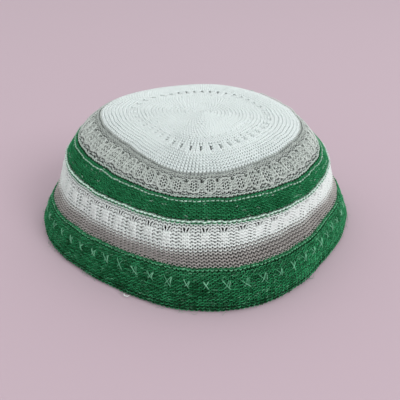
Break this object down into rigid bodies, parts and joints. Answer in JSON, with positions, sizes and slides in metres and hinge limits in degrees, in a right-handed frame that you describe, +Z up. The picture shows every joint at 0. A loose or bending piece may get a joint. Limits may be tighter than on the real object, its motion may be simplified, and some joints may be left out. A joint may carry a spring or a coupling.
{
  "type": "knitted kufi cap",
  "caption": "Soft round brimless knitted cap in coloured bands with a lace pattern, standing on its turned-up hem.",
  "frame": {"origin": "middle of the cap's outline, on the surface that its hem stands on", "axes": "+Z up through the crown, -Y towards the cap's front corner, +X to the right seen from the front"},
  "size_m": [0.2035, 0.1885, 0.074],
  "materials": {
    "crown_yarn": "matte white fine knitted cotton",
    "grey_yarn": "matte grey open lace knit",
    "green_yarn": "matte green plain knit",
    "white_yarn": "matte white open lace knit",
    "taupe_yarn": "matte warm grey wavy knit",
    "hem_yarn": "matte green double knit with pale green flecks"
  },
  "bodies": {
    "root": {"crown": "crown_yarn", "grey_lace_band": "grey_yarn", "green_band": "green_yarn", "white_lace_band": "white_yarn", "taupe_band": "taupe_yarn", "hem_band": "hem_yarn"}
  },
  "joints": []
}
